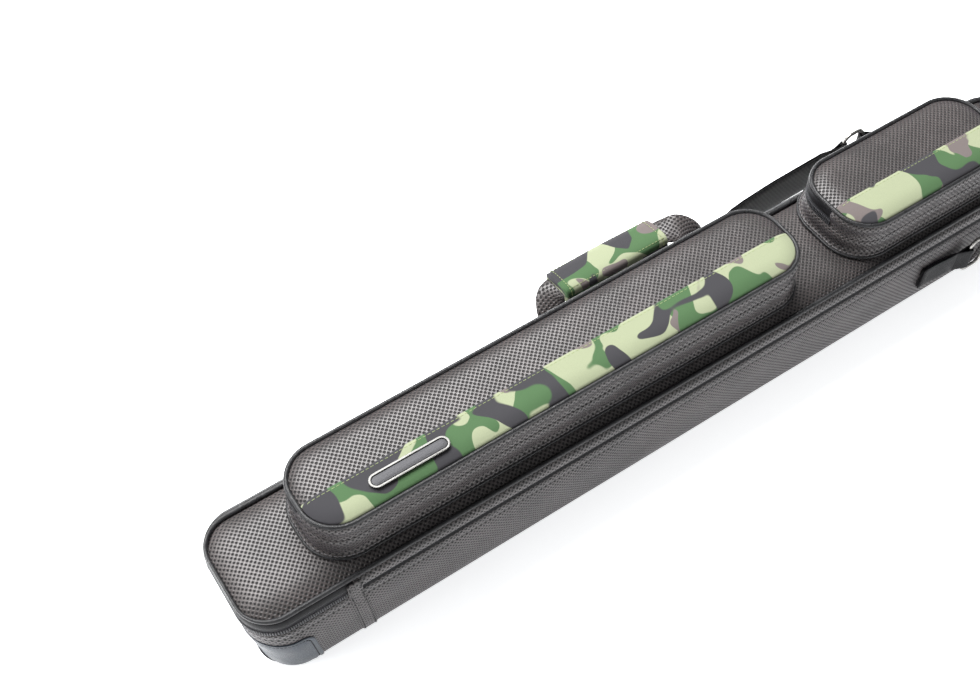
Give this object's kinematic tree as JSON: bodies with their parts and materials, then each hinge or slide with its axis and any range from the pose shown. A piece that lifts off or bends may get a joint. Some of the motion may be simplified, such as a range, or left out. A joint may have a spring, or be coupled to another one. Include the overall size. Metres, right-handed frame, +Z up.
{
  "type": "cue case",
  "caption": "Long soft-sided billiard cue case lying on its back, with a zipped front lid carrying two zipped pockets, a padded side handle, carry strap and strap rings.",
  "frame": {"origin": "centre of the flat back, on the surface the case lies on", "axes": "+X along the case towards the short pocket, +Y towards the carrying handle, +Z up out of the front lid and its pockets"},
  "size_m": [0.8646, 0.1802, 0.1539],
  "materials": {
    "perforated_leather": "satin",
    "smooth_leather": "satin",
    "piping": "satin",
    "zip_tape": "matte",
    "zip_teeth": "satin",
    "camouflage_cloth": "matte",
    "stiff_board": "matte",
    "plush_lining": "matte",
    "strap": "satin",
    "nickel": "polished"
  },
  "bodies": {
    "case_back": {"back_panel": "perforated_leather", "back_shell": "stiff_board", "side_wall": "perforated_leather", "cue_tray": "plush_lining", "back_zip_tape": "zip_tape", "back_zip_teeth": "zip_teeth", "back_hinge_strip": "perforated_leather", "corner_near_left": "smooth_leather", "corner_near_right": "smooth_leather", "corner_far_left": "smooth_leather", "corner_far_right": "smooth_leather", "zip_end_tab_left": "perforated_leather", "zip_end_tab_right": "perforated_leather", "handle_anchor_left": "perforated_leather", "handle_anchor_right": "perforated_leather", "near_ring_tab": "smooth_leather", "far_ring_tab": "smooth_leather", "far_ring": "nickel", "carry_strap": "strap"},
    "front_lid": {"lid_shell": "stiff_board", "lid_pad": "plush_lining", "front_panel": "perforated_leather", "front_piping": "piping", "lid_band": "smooth_leather", "lid_zip_tape": "zip_tape", "lid_zip_teeth": "zip_teeth", "lid_hinge_strip": "perforated_leather", "long_pocket_wall": "perforated_leather", "long_pocket_base_welt": "piping", "long_pocket_zip_tape": "zip_tape", "long_pocket_zip_teeth": "zip_teeth", "short_pocket_wall": "perforated_leather", "short_pocket_base_welt": "piping", "short_pocket_zip_tape": "zip_tape", "short_pocket_zip_teeth": "zip_teeth"},
    "long_pocket_lid": {"long_pocket_panel": "perforated_leather", "long_pocket_camo_strip": "camouflage_cloth", "long_pocket_piping": "piping", "long_pocket_lid_band": "smooth_leather", "long_pocket_lid_tape": "zip_tape", "long_pocket_lid_teeth": "zip_teeth", "badge": "nickel"},
    "short_pocket_lid": {"short_pocket_panel": "perforated_leather", "short_pocket_camo_strip": "camouflage_cloth", "short_pocket_piping": "piping", "short_pocket_lid_band": "smooth_leather", "short_pocket_lid_tape": "zip_tape", "short_pocket_lid_teeth": "zip_teeth"},
    "handle": {"handle_grip": "camouflage_cloth", "handle_strap_left": "perforated_leather", "handle_strap_right": "perforated_leather"},
    "near_ring": {"near_ring": "nickel"},
    "main_slider": {"main_slider": "nickel"},
    "main_pull": {"main_pull": "nickel"},
    "long_pocket_slider": {"long_pocket_slider": "nickel"},
    "long_pocket_pull": {"long_pocket_pull": "nickel"},
    "short_pocket_slider": {"short_pocket_slider": "nickel"},
    "short_pocket_pull": {"short_pocket_pull": "nickel"}
  },
  "joints": [
    {"name": "front_lid_hinge", "type": "hinge", "parent": "case_back", "child": "front_lid", "pos_m": [0, -0.0553, 0.0816], "axis": [1, 0, 0], "range_deg": [0, 120]},
    {"name": "long_pocket_hinge", "type": "hinge", "parent": "front_lid", "child": "long_pocket_lid", "pos_m": [-0.1211, -0.03685, 0.1304], "axis": [1, 0, 0], "range_deg": [0, 100]},
    {"name": "short_pocket_hinge", "type": "hinge", "parent": "front_lid", "child": "short_pocket_lid", "pos_m": [0.2632, -0.0401, 0.1257], "axis": [1, 0, 0], "range_deg": [0, 100]},
    {"name": "handle_swing", "type": "hinge", "parent": "case_back", "child": "handle", "pos_m": [0, 0.068, 0.06], "axis": [1, 0, 0], "range_deg": [-60, 20]},
    {"name": "near_ring_swing", "type": "hinge", "parent": "case_back", "child": "near_ring", "pos_m": [0.306, -0.0625, 0.043], "axis": [0, 0, 1], "range_deg": [-150, 0]},
    {"name": "main_zip", "type": "slide", "parent": "case_back", "child": "main_slider", "axis": [-1, 0, 0], "range_m": [0, 0.776]},
    {"name": "main_pull_swing", "type": "hinge", "parent": "main_slider", "child": "main_pull", "pos_m": [0.3875, 0.0607, 0.0816], "axis": [0, 0, 1], "range_deg": [-170, 0]},
    {"name": "long_pocket_zip", "type": "slide", "parent": "front_lid", "child": "long_pocket_slider", "axis": [-1, 0, 0], "range_m": [0, 0.39]},
    {"name": "long_pocket_pull_swing", "type": "hinge", "parent": "long_pocket_slider", "child": "long_pocket_pull", "pos_m": [0.0756, 0.04765, 0.1304], "axis": [0, 0, 1], "range_deg": [-170, 0]},
    {"name": "short_pocket_zip", "type": "slide", "parent": "front_lid", "child": "short_pocket_slider", "axis": [-1, 0, 0], "range_m": [0, 0.11]},
    {"name": "short_pocket_pull_swing", "type": "hinge", "parent": "short_pocket_slider", "child": "short_pocket_pull", "pos_m": [0.3183, 0.0525, 0.1257], "axis": [0, 0, 1], "range_deg": [-170, 0]}
  ]
}
